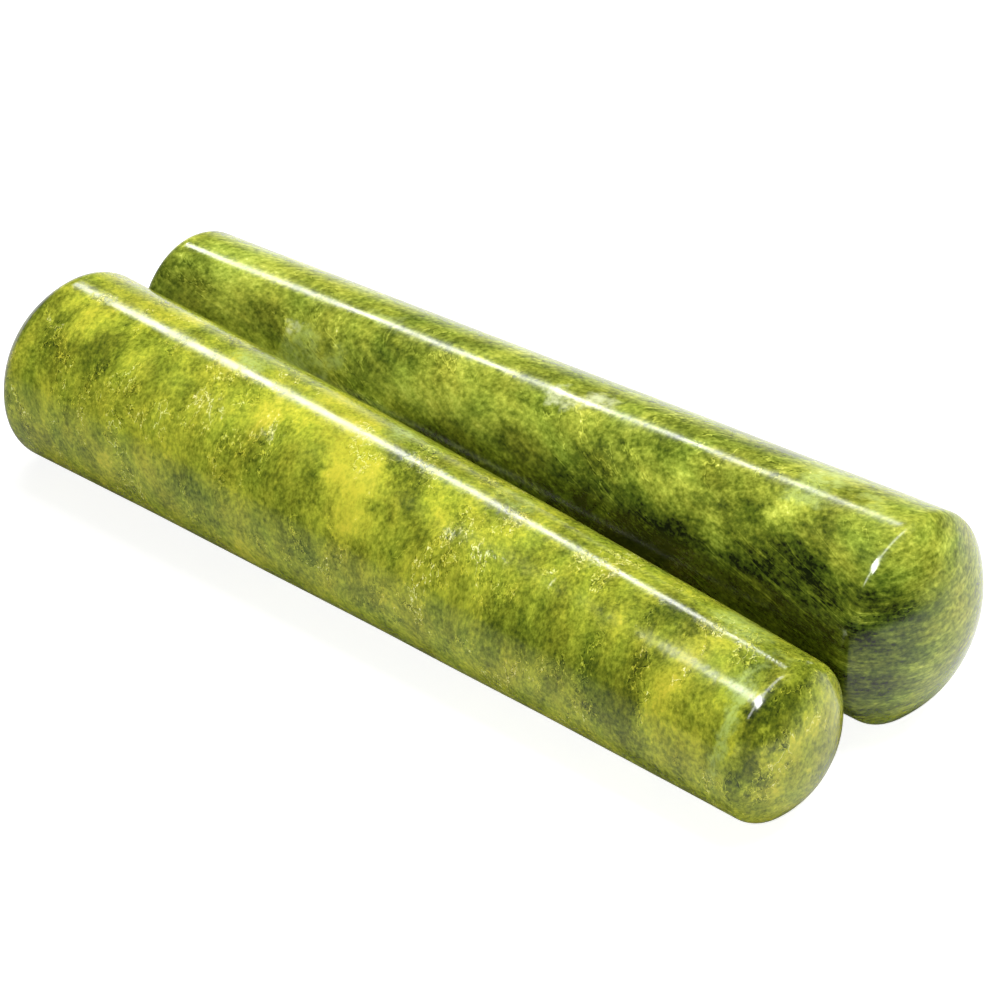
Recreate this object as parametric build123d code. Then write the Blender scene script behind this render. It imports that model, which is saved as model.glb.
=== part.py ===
from build123d import *

import os
from dataclasses import dataclass
from math import asin, atan2, cos, degrees, sin, tan

# A pair of polished jade massage wands, lying side by side, head to tail, on a level surface.
# Millimetres. +X runs along the pair, towards the narrow end of the front wand and the thick
# end of the rear one; +Y runs from the front wand to the rear one; +Z is up from the surface.
# The origin is at the centre of the pair's bounding box, on the surface.

SIDE_GAP = 0.5  # nearest that the two stones come to each other
SPLAY_DEGREES = 0.5  # how far the rear wand opens away from the front one, towards +X
GAP_PASSES = 5  # corrections that bring the stones to SIDE_GAP, each far smaller than the last
MEASURING_SPACE = 10.0  # clear space at which the gap is first measured


@dataclass(frozen=True)
class Wand:
    """One hand-ground wand: a straight taper from a thick end to a narrow one, both domed.

    The diameters are where the taper would meet each dome if the shoulder between them were
    sharp, and a rise is how far a dome stands out from there.
    """

    name: str
    length: float
    thick_diameter: float
    narrow_diameter: float
    thick_rise: float
    narrow_rise: float
    thick_shoulder: float
    narrow_shoulder: float

    @property
    def taper(self) -> float:
        """Angle in radians between the axis and the side of the stone."""
        fall = (self.thick_diameter - self.narrow_diameter) / 2
        return atan2(fall, self.length - self.thick_rise - self.narrow_rise)

    @property
    def tip_height(self) -> float:
        """Height of the thick end's tip above the surface that the stone lies along."""
        return (self.thick_diameter / 2 + self.thick_rise * tan(self.taper)) * cos(self.taper)

    def solid(self) -> Part:
        """The stone about the X axis, with the tip of its thick end at the origin."""
        shoulder_x = self.thick_rise
        far_shoulder_x = self.length - self.narrow_rise
        thick_corner = (shoulder_x, self.thick_diameter / 2)
        narrow_corner = (far_shoulder_x, self.narrow_diameter / 2)
        thick_crown = dome_middle(self.thick_rise, self.thick_diameter / 2)
        narrow_crown = dome_middle(self.narrow_rise, self.narrow_diameter / 2)
        with BuildPart() as stone:
            with BuildSketch():
                with BuildLine():
                    ThreePointArc((0, 0), thick_crown, thick_corner)
                    Line(thick_corner, narrow_corner)
                    ThreePointArc(
                        narrow_corner, (self.length - narrow_crown[0], narrow_crown[1]), (self.length, 0)
                    )
                    Line((self.length, 0), (0, 0))
                make_face()
                fillet(vertices().sort_by_distance(thick_corner).first, self.thick_shoulder)
                fillet(vertices().sort_by_distance(narrow_corner).first, self.narrow_shoulder)
            revolve(axis=Axis.X)
        return stone.part

    def lying(self) -> Part:
        """The stone lying on its side on Z = 0, thick end towards -X, its middle at X = 0."""
        tilt = Rot(0, degrees(self.taper), 0)
        return Pos(-self.length / 2 * cos(self.taper), 0, self.tip_height) * tilt * self.solid()


def dome_middle(rise: float, radius: float) -> tuple[float, float]:
    """The point half way along a dome's arc, from its tip at the origin to (rise, radius)."""
    sphere_radius = (radius**2 + rise**2) / (2 * rise)
    half_angle = asin(radius / sphere_radius) / 2
    return (sphere_radius * (1 - cos(half_angle)), sphere_radius * sin(half_angle))


FRONT_WAND = Wand(
    name="front_wand",
    length=110.0,
    thick_diameter=22.2,
    narrow_diameter=17.7,
    thick_rise=5.5,
    narrow_rise=3.9,
    thick_shoulder=2.2,
    narrow_shoulder=2.6,
)
REAR_WAND = Wand(
    name="rear_wand",
    length=110.8,
    thick_diameter=23.4,
    narrow_diameter=17.2,
    thick_rise=5.4,
    narrow_rise=3.4,
    thick_shoulder=2.0,
    narrow_shoulder=2.0,
)


def laid_out_pair() -> dict[str, Part]:
    """Both stones in the pair's own frame, by name."""
    front = FRONT_WAND.lying()
    turn = Rot(0, 0, 180 + SPLAY_DEGREES)
    side = (FRONT_WAND.thick_diameter + REAR_WAND.thick_diameter) / 2 + MEASURING_SPACE
    rear = Pos(0, side, 0) * turn * REAR_WAND.lying()
    for _ in range(GAP_PASSES):
        rear = Pos(0, SIDE_GAP - front.distance_to(rear), 0) * rear
    box = Compound([front, rear]).bounding_box()
    centre = Pos(-(box.min.X + box.max.X) / 2, -(box.min.Y + box.max.Y) / 2, 0)
    return {FRONT_WAND.name: centre * front, REAR_WAND.name: centre * rear}


os.makedirs("parts", exist_ok=True)
for node, stone in laid_out_pair().items():
    export_step(stone, f"parts/{node}.step")
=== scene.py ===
"""A pair of polished jade massage wands, lying side by side, head to tail, on a white table."""

import logging
from dataclasses import dataclass
from enum import Enum, IntEnum
from math import acos, atan2, ceil, cos, pi, radians, sin, sqrt, tan
from typing import Any, Iterator

import bmesh
import bpy
from mathutils import Euler, Matrix, Vector


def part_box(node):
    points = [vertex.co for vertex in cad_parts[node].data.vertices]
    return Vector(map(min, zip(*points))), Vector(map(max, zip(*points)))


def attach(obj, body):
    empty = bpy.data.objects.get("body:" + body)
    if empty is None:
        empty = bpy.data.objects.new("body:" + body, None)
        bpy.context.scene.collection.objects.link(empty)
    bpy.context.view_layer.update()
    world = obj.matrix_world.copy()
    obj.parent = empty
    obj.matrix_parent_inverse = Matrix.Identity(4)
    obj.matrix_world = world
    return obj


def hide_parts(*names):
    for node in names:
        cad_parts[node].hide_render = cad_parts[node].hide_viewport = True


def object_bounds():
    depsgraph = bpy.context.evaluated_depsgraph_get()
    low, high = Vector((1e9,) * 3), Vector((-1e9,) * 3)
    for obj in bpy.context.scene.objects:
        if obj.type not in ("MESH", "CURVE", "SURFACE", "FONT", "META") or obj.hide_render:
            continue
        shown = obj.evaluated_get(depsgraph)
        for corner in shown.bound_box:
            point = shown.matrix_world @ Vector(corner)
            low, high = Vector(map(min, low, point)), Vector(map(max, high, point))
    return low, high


MM = 0.001
NOISE_SPREAD = (0.3, 0.7)  # nearly all of a noise's values lie between these
CLOUD_FADE = (0.3, 1.3)  # a cloud fades between these shares of its half size
STAIN_GRAIN = (0.32, 0.62)  # grain below the first breaks a stain most, above the second not at all
LEAST_STAIN = 0.2  # what is left of a stain where the grain breaks it most
# A healed crack across, in its own widths from its middle. 0.5 is the level of the stone. The dark dip is
# painted shade beside the crack, and the pale peak is partly the crack's pale crystal and partly a painted
# glint.
CRACK_SHADE_AND_GLINT = ((-2.5, 0.5), (-1.0, 0.2), (0.0, 0.5), (1.0, 1.0), (2.5, 0.5))
# These set a stone's own noises apart from those of its veils, bands and cracks.
STAIN_SHIFT = 41.0
HUE_SHIFT = 57.0
POLISH_SHIFT = 83.0

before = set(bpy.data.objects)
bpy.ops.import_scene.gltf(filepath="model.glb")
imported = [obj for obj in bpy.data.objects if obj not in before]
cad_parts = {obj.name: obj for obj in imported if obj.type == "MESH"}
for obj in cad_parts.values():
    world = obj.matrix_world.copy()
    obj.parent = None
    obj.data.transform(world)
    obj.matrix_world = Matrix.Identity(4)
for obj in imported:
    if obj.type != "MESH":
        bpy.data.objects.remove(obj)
cad_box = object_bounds()
log = logging.getLogger("jade_wands")


# ---------------------------------------------------------------- colours and nodes


def linear(hex_colour: str) -> tuple[float, float, float, float]:
    """Turns an sRGB hex colour into linear light.

    Args:
        hex_colour: six hex digits after a hash.

    Returns:
        Red, green, blue and an alpha of 1.
    """
    channels = [int(hex_colour[i : i + 2], 16) / 255 for i in (1, 3, 5)]
    straight = [c / 12.92 if c <= 0.04045 else ((c + 0.055) / 1.055) ** 2.4 for c in channels]
    return (*straight, 1.0)


def add_node(
    tree: bpy.types.NodeTree,
    kind: str,
    settings: dict[str, Any] | None = None,
    inputs: dict[str | int, Any] | None = None,
) -> bpy.types.Node:
    """Adds one node, with its settings, its input values and its links.

    Args:
        tree: the node tree that gets the node.
        kind: the node's type, without the ShaderNode in front.
        settings: the node's own properties, by name.
        inputs: values or output sockets, by the name or number of the input they go to.

    Returns:
        The new node.
    """
    node = tree.nodes.new("ShaderNode" + kind)
    for name, value in (settings or {}).items():
        setattr(node, name, value)
    for name, value in (inputs or {}).items():
        if isinstance(value, bpy.types.NodeSocket):
            tree.links.new(value, node.inputs[name])
        else:
            node.inputs[name].default_value = value
    return node


def grey(level: float) -> tuple[float, float, float, float]:
    """Makes a grey in linear light."""
    return (level, level, level, 1.0)


def set_ramp(
    ramp: bpy.types.ColorRamp, stops: list[tuple[float, tuple[float, float, float, float]]]
) -> None:
    """Gives a colour ramp its stops.

    Args:
        ramp: the ramp, which still has the two stops that it starts with.
        stops: each stop's place on the ramp and its colour, in order.
    """
    while len(ramp.elements) < len(stops):
        ramp.elements.new(1.0)
    for element, (at, colour) in zip(ramp.elements, stops):
        element.position = at
        element.color = colour


# ---------------------------------------------------------------- stone


class MixSocket(IntEnum):
    """Numbers of a Mix node's colour sockets, which share their names with its other sockets."""

    FACTOR = 0
    FIRST = 6
    SECOND = 7
    RESULT = 2


@dataclass(frozen=True)
class Cloud:
    """A soft patch that differs from what is around it, mostly inside the stone; the darkest ones on the
    rear wand's lower side are partly painted shade.

    Millimetres along the wand from the tip of its thick end, and degrees round it, upwards, from
    the side that faces the viewer. The lift is how much paler the patch is, or darker if it is
    below 0, or its share in a stain.
    """

    along: float
    around: float
    length: float
    width: float
    lift: float


def streak(
    places: tuple[tuple[float, float], ...], lifts: tuple[float, ...], length: float, width: float
) -> tuple[Cloud, ...]:
    """Strings clouds of one size along a streak in the stone.

    Args:
        places: how far along the wand and around it each cloud lies.
        lifts: each cloud's lift.
        length: the clouds' length, in millimetres.
        width: the clouds' width, in millimetres.

    Returns:
        The clouds.
    """
    return tuple(Cloud(*place, length, width, lift) for place, lift in zip(places, lifts))


@dataclass(frozen=True)
class Stain:
    """Smooth patches of one colour over the stone's grain."""

    colour: str
    clouds: tuple[Cloud, ...]


@dataclass(frozen=True)
class Veil:
    """Lumps or layers of lighter and darker stone, in millimetres along and across the layers."""

    size: tuple[float, float, float]
    detail: float
    roughness: float
    weight: float
    shift: float


@dataclass(frozen=True)
class Bands:
    """Thin even layers of the stone, millimetres along and across them, that show near one end.

    They are strongest within the first length from the thick end's tip, and gone by the second.
    """

    size: tuple[float, float, float]
    weight: float
    reach: tuple[float, float]
    shift: float


@dataclass(frozen=True)
class Fracture:
    """Healed cracks that follow the stone's layers: a dark gap painted as the crack's shade, beside a pale
    lip that is partly pale crystal and partly a painted glint.

    Millimetres along two directions in the layers and across them. A swarm is where they gather:
    the share of a noise below which there are none, and above which there are all.
    """

    size: tuple[float, float, float]
    detail: float
    width: float
    amount: float
    swarm_size: tuple[float, float, float]
    swarm: tuple[float, float]
    shift: float


@dataclass(frozen=True)
class Jade:
    """Polished jade: a dense, slightly waxy green stone of felted grains, ground by hand on a wheel.

    It gives the eye a crisp glassy gloss with a faint haze around it, over soft clouds of olive, green and
    yellow with a sugary grain, and pale healed cracks that run with its layers, with painted shade on one
    side of each and a painted glint on its pale lip.

    Sizes are in millimetres and the layers' tilt is in degrees. The fold bends the layers, and the
    tear makes the clouds ragged. The polish is the range of the surface's roughness.
    """

    name: str
    shades: tuple[tuple[float, str], ...]
    layer_tilt: tuple[float, float, float]
    veils: tuple[Veil, ...]
    drift_size: tuple[float, float, float]
    grain_size: tuple[float, float, float]
    fractures: tuple[Fracture, ...]
    clouds: tuple[Cloud, ...]
    stains: tuple[Stain, ...]
    seed: float
    bands: Bands | None = None
    hue_drift: float = 0.008
    fold: float = 0.9
    fold_size: float = 14.0
    fold_detail: float = 1.0
    tear: float = 2.4
    tear_size: float = 5.0
    tear_detail: float = 5.0
    polish: tuple[float, float] = (0.09, 0.19)
    refraction: float = 1.52
    relief: float = 0.01

    def material(self, wand: "Wand") -> bpy.types.Material:
        """Makes the stone's material.

        Args:
            wand: the wand that it is for, whose axis the pattern follows.

        Returns:
            The material.
        """
        made = bpy.data.materials.new(self.name)
        made.use_nodes = True
        tree = made.node_tree
        tree.nodes.clear()
        stone = self.stone_space(tree, wand)
        folded = self.bent(tree, stone, self.fold, self.fold_size, self.fold_detail)
        layers = self.layer_space(tree, folded)
        torn = self.bent(tree, stone, self.tear, self.tear_size, self.tear_detail)
        cracks = self.cracks(tree, layers)
        tone = self.tone(tree, layers, torn, cracks, wand)
        colour = self.colour(tree, layers, tone)
        ragged = self.ragged(tree, layers)
        for stain in self.stains:
            colour = self.stained(tree, torn, ragged, stain, wand, colour)
        bump = add_node(
            tree,
            "Bump",
            inputs={"Strength": 1.0, "Distance": self.relief * MM, "Height": tone},
        )
        dulled = add_node(
            tree,
            "MapRange",
            inputs={
                "Value": self.noise(tree, layers, self.drift_size, 4.0, POLISH_SHIFT),
                "From Min": NOISE_SPREAD[0],
                "From Max": NOISE_SPREAD[1],
                "To Min": self.polish[0],
                "To Max": self.polish[1],
            },
        )
        shader = add_node(
            tree,
            "BsdfPrincipled",
            inputs={
                "Base Color": colour,
                "Roughness": dulled.outputs["Result"],
                "IOR": self.refraction,
                "Normal": bump.outputs["Normal"],
            },
        )
        add_node(tree, "OutputMaterial", inputs={"Surface": shader.outputs["BSDF"]})
        return made

    def stone_space(self, tree: bpy.types.NodeTree, wand: "Wand") -> bpy.types.NodeSocket:
        """Turns the object's own coordinates into millimetres along and across the wand.

        Args:
            tree: the material's nodes.
            wand: the wand.

        Returns:
            The coordinates, from the tip of the thick end.
        """
        place = wand.place()
        where = add_node(tree, "TexCoord")
        mapped = add_node(
            tree,
            "Mapping",
            {"vector_type": "TEXTURE"},
            {
                "Vector": where.outputs["Object"],
                "Location": place.to_translation(),
                "Rotation": place.to_euler("XYZ"),
                "Scale": (MM, MM, MM),
            },
        )
        return mapped.outputs["Vector"]

    def bent(
        self,
        tree: bpy.types.NodeTree,
        space: bpy.types.NodeSocket,
        amount: float,
        size: float,
        detail: float,
    ) -> bpy.types.NodeSocket:
        """Bends the pattern's space, as the rock was folded and torn.

        Args:
            tree: the material's nodes.
            space: the coordinates, in millimetres.
            amount: how far the bends reach, in millimetres.
            size: the size of a bend, in millimetres.
            detail: how many finer bends it has.

        Returns:
            The bent coordinates.
        """
        swirl = add_node(
            tree,
            "TexNoise",
            inputs={"Vector": space, "Scale": 1 / size, "Detail": detail, "Roughness": 0.6},
        )
        centred = add_node(
            tree, "VectorMath", {"operation": "SUBTRACT"}, {0: swirl.outputs["Color"], 1: (0.5, 0.5, 0.5)}
        )
        # Noise seldom strays further than a quarter from its middle, so four times the amount.
        pushed = add_node(
            tree,
            "VectorMath",
            {"operation": "MULTIPLY_ADD"},
            {0: centred.outputs[0], 1: (4 * amount,) * 3, 2: space},
        )
        return pushed.outputs[0]

    def layer_space(self, tree: bpy.types.NodeTree, space: bpy.types.NodeSocket) -> bpy.types.NodeSocket:
        """Turns the space so that its Z axis crosses the stone's layers.

        Args:
            tree: the material's nodes.
            space: the coordinates along and across the wand, in millimetres.

        Returns:
            The coordinates along and across the layers.
        """
        turned = add_node(
            tree,
            "Mapping",
            {"vector_type": "POINT"},
            {"Vector": space, "Rotation": Euler([radians(a) for a in self.layer_tilt])},
        )
        return turned.outputs["Vector"]

    def noise(
        self,
        tree: bpy.types.NodeTree,
        space: bpy.types.NodeSocket,
        size: tuple[float, float, float],
        detail: float,
        shift: float,
        rough: float = 0.6,
    ) -> bpy.types.NodeSocket:
        """Lays noise whose lumps measure so many millimetres each way.

        Args:
            tree: the material's nodes.
            space: the coordinates, in millimetres.
            size: the lumps' size along each axis of that space.
            detail: how many finer layers it has.
            shift: what sets this noise apart from the others.
            rough: how strong the finer layers are.

        Returns:
            The noise, about 0.5.
        """
        placed = add_node(
            tree,
            "VectorMath",
            {"operation": "MULTIPLY_ADD"},
            {0: space, 1: tuple(1 / mm for mm in size), 2: (self.seed + shift,) * 3},
        )
        made = add_node(
            tree,
            "TexNoise",
            inputs={"Vector": placed.outputs[0], "Scale": 1.0, "Detail": detail, "Roughness": rough},
        )
        return made.outputs["Fac"]

    def clouded(
        self,
        tree: bpy.types.NodeTree,
        space: bpy.types.NodeSocket,
        clouds: tuple[Cloud, ...],
        wand: "Wand",
        start: bpy.types.NodeSocket | float,
    ) -> bpy.types.NodeSocket:
        """Adds each cloud's lift to a value, fading from its middle to its rim.

        Args:
            tree: the material's nodes.
            space: the coordinates, in millimetres.
            clouds: the clouds to add.
            wand: the wand that they lie in.
            start: the value before any cloud.

        Returns:
            The value with all of them.
        """
        total = start
        for cloud in clouds:
            middle = wand.skin_point(cloud.along, cloud.around)
            shape = (2 / cloud.length, 2 / cloud.width, 2 / cloud.width)
            scaled = add_node(
                tree,
                "VectorMath",
                {"operation": "MULTIPLY_ADD"},
                {0: space, 1: shape, 2: tuple(-m * k for m, k in zip(middle, shape))},
            )
            away = add_node(tree, "VectorMath", {"operation": "LENGTH"}, {0: scaled.outputs[0]})
            faded = add_node(
                tree,
                "MapRange",
                {"interpolation_type": "SMOOTHSTEP"},
                {
                    "Value": away.outputs["Value"],
                    "From Min": CLOUD_FADE[0],
                    "From Max": CLOUD_FADE[1],
                    "To Min": cloud.lift,
                    "To Max": 0.0,
                },
            )
            summed = add_node(tree, "Math", {"operation": "ADD"}, {0: total, 1: faded.outputs["Result"]})
            total = summed.outputs[0]
        return total

    def cracks(self, tree: bpy.types.NodeTree, layers: bpy.types.NodeSocket) -> bpy.types.NodeSocket:
        """Draws all the healed cracks, with painted shade in their gaps and a painted glint on their pale
        lips.

        Args:
            tree: the material's nodes.
            layers: the coordinates along and across the layers, in millimetres.

        Returns:
            A value that is below 0 in the cracks' gaps and above it on their lips.
        """
        total: bpy.types.NodeSocket | float = 0.0
        for crack in self.fractures:
            run = self.noise(tree, layers, crack.size, crack.detail, crack.shift)
            # the ramp paints the crack's dark side as shade, and its pale lip partly as pale crystal and
            # partly as a painted glint
            crack_shade_and_glint = add_node(tree, "ValToRGB", inputs={"Fac": run})
            set_ramp(
                crack_shade_and_glint.color_ramp, [(0.5 + at * crack.width, grey(level)) for at, level in CRACK_SHADE_AND_GLINT]
            )
            level = add_node(tree, "Math", {"operation": "SUBTRACT"}, {0: crack_shade_and_glint.outputs["Color"], 1: 0.5})
            gathered = self.noise(tree, layers, crack.swarm_size, 2.0, crack.shift + 5.0)
            # The level runs half a unit either way at most, so twice the amount.
            share = add_node(
                tree,
                "MapRange",
                {"interpolation_type": "SMOOTHSTEP"},
                {
                    "Value": gathered,
                    "From Min": crack.swarm[0],
                    "From Max": crack.swarm[1],
                    "To Max": 2 * crack.amount,
                },
            )
            summed = add_node(
                tree,
                "Math",
                {"operation": "MULTIPLY_ADD"},
                {0: level.outputs[0], 1: share.outputs["Result"], 2: total},
            )
            total = summed.outputs[0]
        return total

    def tone(
        self,
        tree: bpy.types.NodeTree,
        layers: bpy.types.NodeSocket,
        torn: bpy.types.NodeSocket,
        cracks: bpy.types.NodeSocket,
        wand: "Wand",
    ) -> bpy.types.NodeSocket:
        """Makes the value that sets the colour.

        Args:
            tree: the material's nodes.
            layers: the coordinates along and across the layers, in millimetres.
            torn: the coordinates along and across the wand, torn at the clouds' edges.
            cracks: the value of the healed cracks.
            wand: the wand that the clouds lie in.

        Returns:
            The value, from 0 in the darkest grains to 1 in the palest.
        """
        middle = 0.5 - sum(0.5 * veil.weight for veil in self.veils)
        total = add_node(tree, "Math", {"operation": "ADD"}, {0: cracks, 1: middle}).outputs[0]
        for veil in self.veils:
            value = self.noise(tree, layers, veil.size, veil.detail, veil.shift, veil.roughness)
            added = add_node(
                tree, "Math", {"operation": "MULTIPLY_ADD"}, {0: value, 1: veil.weight, 2: total}
            )
            total = added.outputs[0]
        if self.bands:
            total = self.banded(tree, layers, torn, total)
        return self.clouded(tree, torn, self.clouds, wand, total)

    def banded(
        self,
        tree: bpy.types.NodeTree,
        layers: bpy.types.NodeSocket,
        torn: bpy.types.NodeSocket,
        tone: bpy.types.NodeSocket,
    ) -> bpy.types.NodeSocket:
        """Adds the thin layers to the tone, where they show.

        Args:
            tree: the material's nodes.
            layers: the coordinates along and across the layers, in millimetres.
            torn: the coordinates along and across the wand, torn at the clouds' edges.
            tone: the tone before the layers.

        Returns:
            The tone with them.
        """
        value = self.noise(tree, layers, self.bands.size, 3.0, self.bands.shift)
        level = add_node(tree, "Math", {"operation": "SUBTRACT"}, {0: value, 1: 0.5})
        along = add_node(tree, "SeparateXYZ", inputs={"Vector": torn})
        share = add_node(
            tree,
            "MapRange",
            {"interpolation_type": "SMOOTHSTEP"},
            {
                "Value": along.outputs["X"],
                "From Min": self.bands.reach[0],
                "From Max": self.bands.reach[1],
                "To Min": self.bands.weight,
                "To Max": 0.0,
            },
        )
        summed = add_node(
            tree,
            "Math",
            {"operation": "MULTIPLY_ADD"},
            {0: level.outputs[0], 1: share.outputs["Result"], 2: tone},
        )
        return summed.outputs[0]

    def colour(
        self, tree: bpy.types.NodeTree, layers: bpy.types.NodeSocket, tone: bpy.types.NodeSocket
    ) -> bpy.types.NodeSocket:
        """Turns the tone into the stone's shades, and lets their hue drift.

        Args:
            tree: the material's nodes.
            layers: the coordinates along and across the layers, in millimetres.
            tone: the value that picks the shade.

        Returns:
            The colour.
        """
        shade = add_node(tree, "ValToRGB", inputs={"Fac": tone})
        set_ramp(shade.color_ramp, [(at, linear(hex_colour)) for at, hex_colour in self.shades])
        drift = add_node(
            tree,
            "MapRange",
            inputs={
                "Value": self.noise(tree, layers, self.drift_size, 3.0, HUE_SHIFT),
                "From Min": NOISE_SPREAD[0],
                "From Max": NOISE_SPREAD[1],
                "To Min": 0.5 - self.hue_drift,
                "To Max": 0.5 + self.hue_drift,
            },
        )
        drifted = add_node(
            tree,
            "HueSaturation",
            inputs={"Hue": drift.outputs["Result"], "Color": shade.outputs["Color"]},
        )
        return drifted.outputs["Color"]

    def ragged(self, tree: bpy.types.NodeTree, layers: bpy.types.NodeSocket) -> bpy.types.NodeSocket:
        """Makes the grain that breaks the stains' edges.

        Args:
            tree: the material's nodes.
            layers: the coordinates along and across the layers, in millimetres.

        Returns:
            A share, 1 where a stain covers the stone fully.
        """
        broken = self.noise(tree, layers, self.grain_size, 4.0, STAIN_SHIFT, 0.7)
        share = add_node(
            tree,
            "MapRange",
            {"interpolation_type": "SMOOTHSTEP"},
            {
                "Value": broken,
                "From Min": STAIN_GRAIN[0],
                "From Max": STAIN_GRAIN[1],
                "To Min": LEAST_STAIN,
                "To Max": 1.0,
            },
        )
        return share.outputs["Result"]

    def stained(
        self,
        tree: bpy.types.NodeTree,
        torn: bpy.types.NodeSocket,
        ragged: bpy.types.NodeSocket,
        stain: Stain,
        wand: "Wand",
        colour: bpy.types.NodeSocket,
    ) -> bpy.types.NodeSocket:
        """Lays one stain over the stone's colour.

        Args:
            tree: the material's nodes.
            torn: the coordinates along and across the wand, torn at the clouds' edges.
            ragged: the grain that breaks the stain.
            stain: the stain.
            wand: the wand that it lies in.
            colour: the colour before it.

        Returns:
            The colour with it.
        """
        patchy = self.clouded(tree, torn, stain.clouds, wand, 0.0)
        share = add_node(
            tree, "Math", {"operation": "MULTIPLY", "use_clamp": True}, {0: patchy, 1: ragged}
        )
        mixed = add_node(
            tree,
            "Mix",
            {"data_type": "RGBA"},
            {
                MixSocket.FACTOR: share.outputs[0],
                MixSocket.FIRST: colour,
                MixSocket.SECOND: linear(stain.colour),
            },
        )
        return mixed.outputs[MixSocket.RESULT]


# The yellow band on the front wand, along and around it.
YELLOW_BAND = ((41.0, 112.0), (43.5, 98.0), (47.0, 84.0), (50.0, 70.0), (52.5, 57.0))

# Sunny olive and yellow clouds under the gloss, with short pale cracks all through them, each with painted
# shade on one side and a painted glint on its pale lip.
YELLOW_GREEN_JADE = Jade(
    name="polished_yellow_green_jade",
    shades=(
        (0.02, "#27310b"),
        (0.20, "#4b5612"),
        (0.36, "#6b751c"),
        (0.50, "#8a9329"),
        (0.62, "#a2a931"),
        (0.74, "#bbba37"),
        (0.88, "#d0ca44"),
        (1.00, "#e6eba6"),
    ),
    layer_tilt=(45.0, -75.0, 0.0),
    veils=(
        Veil((20.0, 20.0, 9.0), 2.0, 0.6, 0.35, 0.0),
        Veil((5.0, 4.5, 3.2), 6.0, 0.66, 0.95, 13.0),
        Veil((0.55, 0.55, 0.42), 2.5, 0.65, 0.85, 27.0),
    ),
    drift_size=(6.0, 5.0, 3.6),
    grain_size=(0.7, 0.7, 0.5),
    fractures=(
        Fracture((1.7, 1.3, 0.8), 3.0, 0.016, 0.46, (6.0, 6.0, 4.0), (0.5, 0.62), 71.0),
        Fracture((6.0, 5.0, 3.0), 4.0, 0.006, 0.35, (14.0, 14.0, 10.0), (0.5, 0.6), 91.0),
    ),
    seed=4.2,
    hue_drift=0.014,
    clouds=(
        *streak(YELLOW_BAND, (0.1, 0.1, 0.1, 0.1, 0.12), 8.0, 7.0),
        Cloud(54.0, 45.0, 7.0, 6.0, 0.12),
        # the other pale clouds
        Cloud(38.0, 78.0, 5.0, 6.0, 0.16),
        Cloud(11.0, 73.0, 8.0, 6.0, 0.18),
        Cloud(20.0, 106.0, 6.0, 6.0, 0.2),
        Cloud(30.0, 45.0, 12.0, 10.0, 0.08),
        Cloud(66.0, 40.0, 14.0, 10.0, 0.06),
        Cloud(96.0, 30.0, 5.0, 10.0, 0.14),
        Cloud(109.0, 40.0, 2.0, 18.0, 0.16),
        # dark clouds by the thick end
        Cloud(13.0, 50.0, 13.0, 10.0, -0.18),
        Cloud(4.0, 66.0, 8.0, 8.0, -0.18),
        # the dark edge beside the yellow band
        Cloud(54.5, 86.0, 4.0, 6.0, -0.12),
        Cloud(57.0, 75.0, 4.0, 6.0, -0.13),
        Cloud(59.0, 63.0, 5.0, 6.0, -0.12),
        Cloud(61.0, 50.0, 5.0, 6.0, -0.12),
        # the other dark clouds, the ring at the narrow end among them
        Cloud(40.5, 42.0, 6.0, 10.0, -0.13),
        Cloud(29.0, 70.0, 5.0, 4.0, -0.12),
        Cloud(60.0, 40.0, 110.0, 8.0, -0.05),
        Cloud(91.0, 78.0, 10.0, 7.0, -0.2),
        Cloud(104.0, 84.0, 4.0, 6.0, -0.16),
        Cloud(90.5, 22.0, 7.0, 12.0, -0.2),
        Cloud(106.8, 40.0, 2.8, 20.0, -0.3),
        Cloud(75.0, 20.0, 10.0, 8.0, -0.1),
    ),
    stains=(
        Stain(
            "#c4bd39",
            (
                *streak(YELLOW_BAND, (0.35, 0.35, 0.4, 0.4, 0.45), 7.0, 6.0),
                Cloud(54.0, 45.0, 6.0, 5.0, 0.4),
                Cloud(20.0, 105.0, 5.0, 4.0, 0.5),
                Cloud(109.3, 40.0, 1.6, 16.0, 0.5),
            ),
        ),
        Stain(
            "#b0c368",
            (
                Cloud(30.5, 104.0, 5.0, 5.0, 0.8),
                Cloud(50.5, 110.0, 8.0, 5.0, 0.7),
                Cloud(68.0, 107.0, 6.0, 5.0, 0.5),
                Cloud(98.0, 106.0, 7.0, 6.0, 0.6),
                Cloud(103.4, 45.0, 2.6, 16.0, 0.7),
            ),
        ),
    ),
)

# The dark streak that slants up the rear wand, along and around it.
DARK_STREAK = ((8.0, 39.0), (15.0, 48.0), (22.0, 59.0), (29.0, 68.0), (37.0, 74.0))
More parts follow.
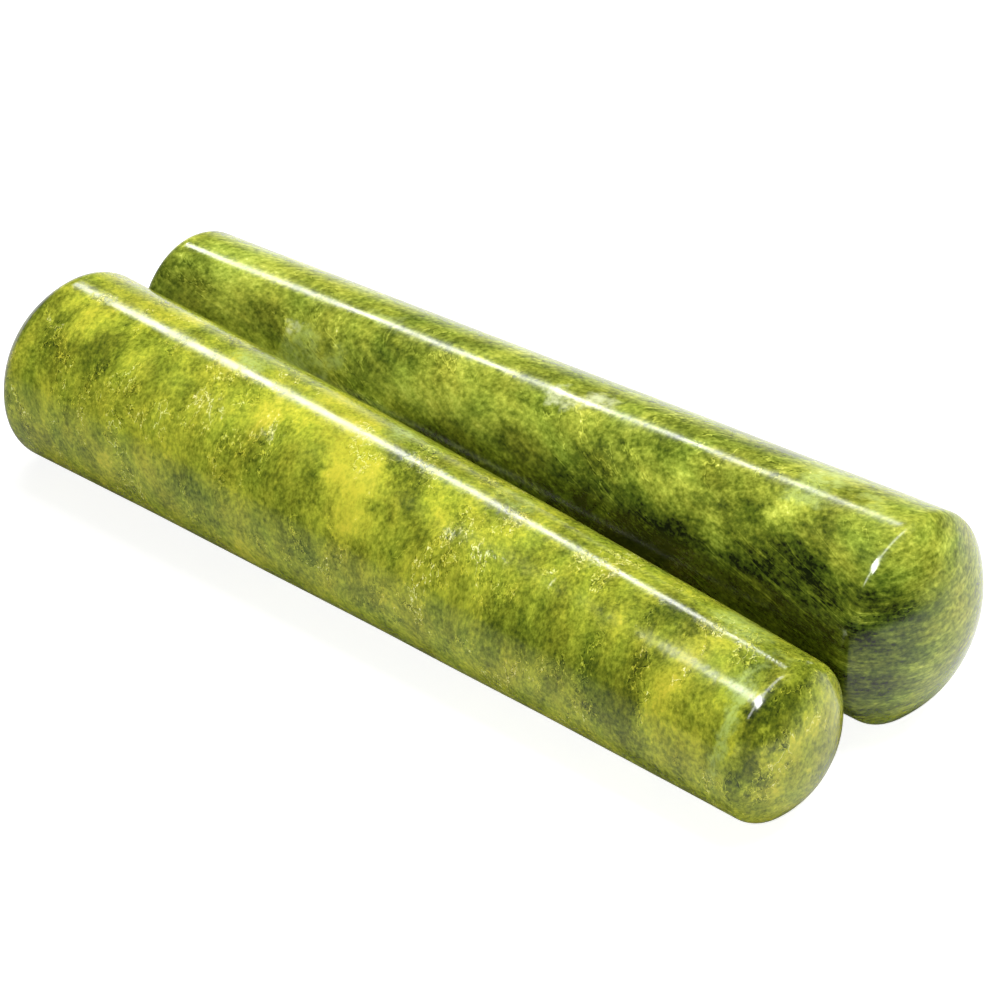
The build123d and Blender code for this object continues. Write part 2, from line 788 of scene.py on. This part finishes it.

# Deep green, near black low down, in thin slanting layers under the same gloss. The near black low down is
# partly the stone's own dark green and partly painted shade of the gap between the wands.
DARK_GREEN_JADE = Jade(
    name="polished_dark_green_jade",
    shades=(
        (0.02, "#101803"),
        (0.20, "#3d4a0f"),
        (0.36, "#5d6a1b"),
        (0.50, "#7d892b"),
        (0.62, "#98a338"),
        (0.76, "#b8be4a"),
        (0.88, "#d0d75d"),
        (1.00, "#feffbf"),
    ),
    layer_tilt=(6.0, 13.0, 0.0),
    veils=(
        Veil((30.0, 22.0, 7.0), 2.0, 0.6, 0.5, 0.0),
        Veil((8.0, 6.0, 2.2), 6.0, 0.64, 0.8, 13.0),
        Veil((2.6, 2.0, 0.42), 3.0, 0.7, 0.55, 27.0),
        Veil((0.6, 0.6, 0.4), 2.0, 0.6, 0.7, 37.0),
    ),
    drift_size=(9.0, 7.0, 2.4),
    grain_size=(1.6, 1.2, 0.5),
    fractures=(
        Fracture((9.0, 5.0, 0.8), 3.0, 0.01, 0.27, (12.0, 9.0, 5.0), (0.5, 0.64), 76.0),
        Fracture((60.0, 40.0, 4.0), 4.0, 0.005, 0.22, (24.0, 18.0, 12.0), (0.5, 0.62), 91.0),
    ),
    seed=11.6,
    bands=Bands((9.0, 6.0, 0.36), 0.4, (3.0, 18.0), 47.0),
    relief=0.006,
    hue_drift=0.016,
    fold=1.0,
    fold_size=26.0,
    clouds=(
        # the dark lower side, facing the front wand: the first two clouds are partly the stone's own dark
        # green and partly painted shade of the gap between the wands
        Cloud(20.0, 5.0, 56.0, 19.0, -0.42),
        Cloud(50.0, 13.0, 44.0, 11.0, -0.28),
        Cloud(60.0, 34.0, 12.0, 5.0, -0.12),
        Cloud(1.5, 40.0, 8.0, 22.0, -0.05),
        *streak(DARK_STREAK, (-0.13, -0.13, -0.13, -0.13, -0.11), 12.0, 3.0),
        # dark clouds towards the narrow end
        Cloud(73.5, 66.0, 5.0, 6.0, -0.14),
        Cloud(89.0, 45.0, 8.0, 5.0, -0.11),
        Cloud(103.0, 54.0, 8.0, 8.0, -0.11),
        # the pale clouds
        Cloud(18.0, 68.0, 6.0, 4.0, 0.18),
        Cloud(30.0, 59.0, 9.0, 4.0, 0.18),
        Cloud(26.0, 43.0, 12.0, 3.5, 0.14),
        Cloud(36.0, 41.0, 6.0, 4.0, 0.12),
        Cloud(44.6, 75.0, 4.0, 4.0, 0.14),
        Cloud(69.5, 38.0, 5.0, 5.0, 0.14),
        Cloud(78.0, 69.0, 6.0, 5.0, 0.14),
        Cloud(86.5, 53.0, 5.0, 3.0, 0.14),
        Cloud(95.0, 72.0, 12.0, 8.0, 0.06),
    ),
    stains=(
        Stain(
            "#c0d076",
            (
                Cloud(18.0, 101.0, 8.0, 6.0, 0.8),
                Cloud(18.0, 80.0, 6.0, 3.0, 0.6),
                Cloud(11.5, 92.0, 4.0, 3.0, 0.5),
                Cloud(76.5, 80.0, 5.0, 3.0, 0.5),
                Cloud(83.5, 45.0, 5.0, 5.0, 0.5),
                Cloud(80.0, 38.0, 4.0, 4.0, 0.45),
            ),
        ),
        Stain(
            "#dfe4b4",
            (
                Cloud(46.5, 87.0, 5.0, 3.5, 0.7),
                Cloud(50.5, 83.0, 4.0, 4.0, 0.8),
                Cloud(85.5, 57.0, 3.0, 2.5, 0.8),
            ),
        ),
    ),
)


# ---------------------------------------------------------------- wands


@dataclass
class Wand:
    """One solid stone wand: a taper from a thick end to a narrow one, both domed.

    Millimetres, and degrees for its heading. The stone is ground by hand, so it bows a little along
    its length, swells or hollows a little between its ends, and its polish follows faint flats left
    by the wheel. The viewer's side is -1 or 1, the way along its own Y axis that it shows the viewer.
    """

    node: str
    jade: Jade
    slot: str
    length: float
    thick_diameter: float
    narrow_diameter: float
    thick_rise: float
    narrow_rise: float
    thick_shoulder: float
    narrow_shoulder: float
    heading: float
    bow: float
    swell: float
    viewer_side: float
    flats: float = 0.07
    flat_size: float = 14.0
    ring_step: float = 0.6
    arc_step_degrees: float = 4.0
    sides: int = 144

    @property
    def taper(self) -> float:
        """Angle in radians between the axis and the side of the stone."""
        fall = (self.thick_diameter - self.narrow_diameter) / 2
        return atan2(fall, self.length - self.thick_rise - self.narrow_rise)

    def radius(self, along: float) -> float:
        """Radius of the tapered side, so many millimetres from the thick end's tip."""
        return self.thick_diameter / 2 - (along - self.thick_rise) * tan(self.taper)

    def skin_point(self, along: float, around: float) -> tuple[float, float, float]:
        """A point on the side: millimetres along, and degrees up from the side facing the viewer."""
        turn = radians(around)
        out = self.radius(along)
        return (along, out * self.viewer_side * cos(turn), out * sin(turn))

    def place(self) -> Matrix:
        """Where the stone lies: its own axis and tip, in the pair's frame, in metres."""
        low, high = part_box(self.node)
        middle = (low + high) / 2
        lie = Matrix.Rotation(radians(self.heading), 4, "Z") @ Matrix.Rotation(self.taper, 4, "Y")
        tip = (self.thick_diameter / 2 + self.thick_rise * tan(self.taper)) * cos(self.taper) * MM
        centre = lie @ Vector((self.length / 2 * MM, 0, 0))
        return Matrix.Translation((middle.x - centre.x, middle.y - centre.y, low.z + tip)) @ lie

    def end_curve(self, radius: float, rise: float, shoulder: float) -> Iterator[tuple[float, float]]:
        """Walks an end's outline from its tip to where the side starts.

        Args:
            radius: the end's radius where the dome would meet the side without a shoulder.
            rise: how far the dome stands out from there.
            shoulder: the radius of the rounding between dome and side.

        Yields:
            Distance from the tip, and distance from the axis.
        """
        dome = (radius**2 + rise**2) / (2 * rise)
        shoulder_x = dome - sqrt((dome - shoulder) ** 2 - (radius - shoulder) ** 2)
        meeting = acos((dome - shoulder_x) / (dome - shoulder))
        step = radians(self.arc_step_degrees)
        dome_steps = ceil(meeting * dome / self.ring_step)
        for i in range(dome_steps):
            angle = meeting * i / dome_steps
            yield dome - dome * cos(angle), dome * sin(angle)
        shoulder_steps = ceil((pi / 2 - meeting) / step)
        for i in range(shoulder_steps + 1):
            angle = meeting + (pi / 2 - meeting) * i / shoulder_steps
            yield shoulder_x - shoulder * cos(angle), radius - shoulder + shoulder * sin(angle)

    def outline(self) -> list[tuple[float, float]]:
        """Draws the whole outline.

        Returns:
            Pairs of x and radius, from the thick end's tip to the narrow end's.
        """
        thick = list(self.end_curve(self.thick_diameter / 2, self.thick_rise, self.thick_shoulder))
        narrow = list(self.end_curve(self.narrow_diameter / 2, self.narrow_rise, self.narrow_shoulder))
        start, start_radius = thick[-1]
        end, end_radius = self.length - narrow[-1][0], narrow[-1][1]
        rings = ceil((end - start) / self.ring_step)
        side = []
        for i in range(1, rings):
            share = i / rings
            swollen = self.swell * 4 * share * (1 - share)
            tapered = start_radius + (end_radius - start_radius) * share
            side.append((start + (end - start) * share, tapered + swollen))
        return thick + side + [(self.length - x, r) for x, r in reversed(narrow)]

    def build(self) -> bpy.types.Object:
        """Spins the outline into a closed stone, bows it, lays it in place and grinds its flats.

        A swollen stone is raised in its middle by as much, so that it doesn't sink into the table.

        Returns:
            The finished piece, riding on its body and standing for its CAD node.
        """
        work = bmesh.new()
        points = [work.verts.new((x, 0.0, r)) for x, r in self.outline()]
        edges = [work.edges.new(pair) for pair in zip(points, points[1:])]
        bmesh.ops.spin(
            work,
            geom=points + edges,
            cent=(0, 0, 0),
            axis=(1, 0, 0),
            dvec=(0, 0, 0),
            angle=2 * pi,
            steps=self.sides,
            use_merge=True,
        )
        bmesh.ops.remove_doubles(work, verts=work.verts, dist=0.001)
        for vert in work.verts:
            share = 2 * vert.co.x / self.length - 1
            vert.co.y -= self.viewer_side * self.bow * (1 / 3 - share**2)
            vert.co.z += self.swell * (1 - share**2)
        bmesh.ops.recalc_face_normals(work, faces=work.faces)
        bmesh.ops.transform(work, matrix=self.place() @ Matrix.Scale(MM, 4), verts=work.verts)
        mesh = bpy.data.meshes.new(self.node + "_stone")
        work.to_mesh(mesh)
        work.free()
        for polygon in mesh.polygons:
            polygon.use_smooth = True
        stone = bpy.data.objects.new(self.node + "_stone", mesh)
        bpy.context.scene.collection.objects.link(stone)
        self.grind(stone)
        mesh.materials.append(self.jade.material(self))
        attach(stone, self.node)
        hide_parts(self.node)
        return stone

    def grind(self, stone: bpy.types.Object) -> None:
        """Leaves the faint broad flats of hand grinding in the stone's surface.

        Args:
            stone: the finished stone.
        """
        wheel = bpy.data.textures.new(self.node + "_flats", "CLOUDS")
        wheel.noise_scale = self.flat_size * MM
        wheel.noise_depth = 1
        wheel.noise_basis = "ORIGINAL_PERLIN"
        ground = stone.modifiers.new("grinding_flats", "DISPLACE")
        ground.texture = wheel
        ground.texture_coords = "LOCAL"
        ground.mid_level = 0.5
        ground.strength = self.flats * 2 * MM


FRONT_WAND = Wand(
    node="front_wand",
    jade=YELLOW_GREEN_JADE,
    slot="yellow_green_jade",
    length=110.0,
    thick_diameter=22.2,
    narrow_diameter=17.7,
    thick_rise=5.5,
    narrow_rise=3.9,
    thick_shoulder=2.2,
    narrow_shoulder=2.6,
    heading=0.0,
    bow=0.6,
    swell=0.12,
    viewer_side=-1.0,
)
REAR_WAND = Wand(
    node="rear_wand",
    jade=DARK_GREEN_JADE,
    slot="dark_green_jade",
    length=110.8,
    thick_diameter=23.4,
    narrow_diameter=17.2,
    thick_rise=5.4,
    narrow_rise=3.4,
    thick_shoulder=2.0,
    narrow_shoulder=2.0,
    heading=180.5,
    bow=0.0,
    swell=0.0,
    viewer_side=1.0,
)


# ---------------------------------------------------------------- studio


class Sight(Enum):
    """How the stone shows a light: mirrored in its polish, or scattered by its colour."""

    MIRRORED = "mirrored"
    SCATTERED = "scattered"


@dataclass(frozen=True)
class Softbox:
    """A rectangular studio light. Metres, watts and degrees.

    It faces down with its longer side along X before it is turned. A light that is flagged off
    from the other wand names the only one that it reaches.
    """

    name: str
    place: tuple[float, float, float]
    size: tuple[float, float]
    power: float
    turned: tuple[float, float, float] = (0.0, 0.0, 0.0)
    shown: Sight = Sight.SCATTERED
    only: str | None = None

    def build(self, stones: dict[str, bpy.types.Object]) -> None:
        """Hangs the light.

        Args:
            stones: the wands, by the CAD nodes that they stand for.
        """
        light = bpy.data.lights.new(self.name, "AREA")
        light.shape = "RECTANGLE"
        light.size, light.size_y = self.size
        light.energy = self.power
        lamp = bpy.data.objects.new(self.name, light)
        bpy.context.scene.collection.objects.link(lamp)
        lamp.location = self.place
        lamp.rotation_euler = [radians(a) for a in self.turned]
        lamp.visible_camera = False
        lamp.visible_diffuse = self.shown is Sight.SCATTERED
        lamp.visible_glossy = self.shown is Sight.MIRRORED
        if self.only:
            reached = bpy.data.collections.new(self.name + "_reaches")
            reached.objects.link(stones[self.only])
            lamp.light_linking.receiver_collection = reached


@dataclass
class Studio:
    """The white table, the soft lights and the camera. Metres and degrees, the lens in millimetres.

    The table is graded along table_towards, between the two distances of table_graded. Each of
    table_grades is a share of the way between them and the table's paleness there.
    """

    azimuth: float = 41.34
    elevation: float = 34.45
    distance: float = 0.4697
    lens: float = 152.5
    sensor: float = 36.0
    nearest: float = 0.01
    aim_offset: tuple[float, float] = (-0.0070, 0.0119)
    table_size: float = 6.0
    backdrop_colour: str = "#fffde0"
    backdrop_glow: float = 1.0
    backdrop_height: float = 0.32
    backdrop_edge: float = 0.5
    dark_studio: float = 0.06
    table_glow: float = 0.88
    table_towards: tuple[float, float, float] = (0.3, 0.95, 0.0)
    table_graded: tuple[float, float] = (-0.4, 0.1)
    table_grades: tuple[tuple[float, float], ...] = ((0.0, 0.04), (0.56, 0.2), (0.74, 0.32), (0.86, 0.85))
    softboxes: tuple[Softbox, ...] = (
        Softbox(
            "front_wand_strip",
            (-0.374, 0.465, 0.47),
            (0.38, 0.07),
            1.3,
            (-56.2, -19.2, 77.5),
            Sight.MIRRORED,
            "front_wand",
        ),
        Softbox(
            "rear_wand_strip",
            (-0.459, 0.386, 0.489),
            (0.39, 0.045),
            0.9,
            (-64.6, -31.3, 83.5),
            Sight.MIRRORED,
            "rear_wand",
        ),
        Softbox("overhead_box", (-0.04, -0.206, 0.70), (0.42, 0.13), 7.0, (0, 0, -12.2), Sight.MIRRORED),
        Softbox("overhead_bar", (-0.05, -0.08, 0.75), (1.05, 0.12), 3.4, (0, 0, 90), Sight.MIRRORED),
        Softbox("front_fill", (0.45, -1.1, 0.16), (1.4, 0.3), 11.8, (82, 0, 22)),
        Softbox("top_fill", (0.0, 0.35, 1.1), (1.0, 1.0), 25.0, (-18, 0, 0)),
    )

    def build(self, stones: dict[str, bpy.types.Object]) -> None:
        """Sets up the table, surroundings, lights and camera.

        Args:
            stones: the wands, by the CAD nodes that they stand for.
        """
        self.table()
        self.world()
        for softbox in self.softboxes:
            softbox.build(stones)
        self.camera()
        bpy.context.scene.view_settings.view_transform = "Standard"

    def table(self) -> None:
        """Lays a table top of white acrylic, lit from below, under the wands.

        It gives the eye an even white with the faintest shadow. It is graded, and scatters less
        light towards the front left, which the stones' lower sides mirror.
        """
        work = bmesh.new()
        bmesh.ops.create_grid(work, x_segments=1, y_segments=1, size=self.table_size / 2)
        low = cad_box[0]
        bmesh.ops.translate(work, vec=(0, 0, low[2]), verts=work.verts)
        mesh = bpy.data.meshes.new("table_top")
        work.to_mesh(mesh)
        work.free()
        top = bpy.data.objects.new("table_top", mesh)
        bpy.context.scene.collection.objects.link(top)
        card = bpy.data.materials.new("lit_white_acrylic")
        card.use_nodes = True
        tree = card.node_tree
        tree.nodes.clear()
        where = add_node(tree, "TexCoord")
        across = add_node(
            tree,
            "VectorMath",
            {"operation": "DOT_PRODUCT"},
            {0: where.outputs["Object"], 1: self.table_towards},
        )
        reach = add_node(
            tree,
            "MapRange",
            inputs={
                "Value": across.outputs["Value"],
                "From Min": self.table_graded[0],
                "From Max": self.table_graded[1],
            },
        )
        paleness = add_node(tree, "ValToRGB", inputs={"Fac": reach.outputs["Result"]})
        set_ramp(paleness.color_ramp, [(at, grey(level)) for at, level in self.table_grades])
        seen = add_node(tree, "LightPath")
        glow = add_node(
            tree, "Math", {"operation": "MULTIPLY"}, {0: seen.outputs["Is Camera Ray"], 1: self.table_glow}
        )
        shader = add_node(
            tree,
            "BsdfPrincipled",
            inputs={
                "Base Color": paleness.outputs["Color"],
                "Roughness": 0.9,
                "Specular IOR Level": 0.2,
                "Emission Color": linear("#ffffff"),
                "Emission Strength": glow.outputs[0],
            },
        )
        add_node(tree, "OutputMaterial", inputs={"Surface": shader.outputs["BSDF"]})
        mesh.materials.append(card)

    def world(self) -> None:
        """Surrounds the table with a dark studio and a cream backdrop that fades upwards.

        The camera sees white all round.
        """
        room = bpy.data.worlds.new("studio")
        bpy.context.scene.world = room
        room.use_nodes = True
        tree = room.node_tree
        tree.nodes.clear()
        towards = add_node(tree, "TexCoord")
        split = add_node(tree, "SeparateXYZ", inputs={"Vector": towards.outputs["Generated"]})
        upwards = add_node(
            tree,
            "MapRange",
            {"interpolation_type": "SMOOTHSTEP"},
            {"Value": split.outputs["Z"], "From Max": self.backdrop_height, "To Min": 1.0, "To Max": 0.0},
        )
        backwards = add_node(
            tree,
            "MapRange",
            {"interpolation_type": "SMOOTHSTEP"},
            {
                "Value": split.outputs["Y"],
                "From Max": self.backdrop_edge,
                "To Max": self.backdrop_glow,
            },
        )
        backdrop = add_node(
            tree,
            "Math",
            {"operation": "MULTIPLY_ADD"},
            {0: upwards.outputs["Result"], 1: backwards.outputs["Result"], 2: self.dark_studio},
        )
        ray = add_node(tree, "LightPath")
        strength = add_node(
            tree,
            "Math",
            {"operation": "MAXIMUM"},
            {0: ray.outputs["Is Camera Ray"], 1: backdrop.outputs[0]},
        )
        tint = add_node(
            tree,
            "Mix",
            {"data_type": "RGBA"},
            {
                MixSocket.FACTOR: ray.outputs["Is Camera Ray"],
                MixSocket.FIRST: linear(self.backdrop_colour),
                MixSocket.SECOND: linear("#ffffff"),
            },
        )
        shown = add_node(
            tree,
            "Background",
            inputs={"Color": tint.outputs[MixSocket.RESULT], "Strength": strength.outputs[0]},
        )
        add_node(tree, "OutputWorld", inputs={"Surface": shown.outputs["Background"]})

    def camera(self) -> None:
        """Points the camera at the pair from the front right, looking down on it."""
        low, high = Vector(cad_box[0]), Vector(cad_box[1])
        aim = Vector(((low.x + high.x) / 2, (low.y + high.y) / 2, low.z))
        aim += Vector((*self.aim_offset, 0))
        turn, rise = radians(self.azimuth), radians(self.elevation)
        back = Vector((sin(turn) * cos(rise), -cos(turn) * cos(rise), sin(rise)))
        view = bpy.data.cameras.new("camera")
        view.lens = self.lens
        view.sensor_width = self.sensor
        view.clip_start = self.nearest
        camera = bpy.data.objects.new("camera", view)
        bpy.context.scene.collection.objects.link(camera)
        camera.matrix_world = (
            Matrix.Translation(aim + back * self.distance)
            @ (-back).to_track_quat("-Z", "Y").to_matrix().to_4x4()
        )
        bpy.context.scene.camera = camera


def main() -> None:
    """Builds the studio and both wands, and logs how many faces each wand has."""
    stones = {}
    for wand in (FRONT_WAND, REAR_WAND):
        stone = wand.build()
        stones[wand.node] = stone
        log.info("%s: %d faces", stone.name, len(stone.data.polygons))
    Studio().build(stones)


if __name__ == "__main__":
    logging.basicConfig(level=logging.INFO)
    main()
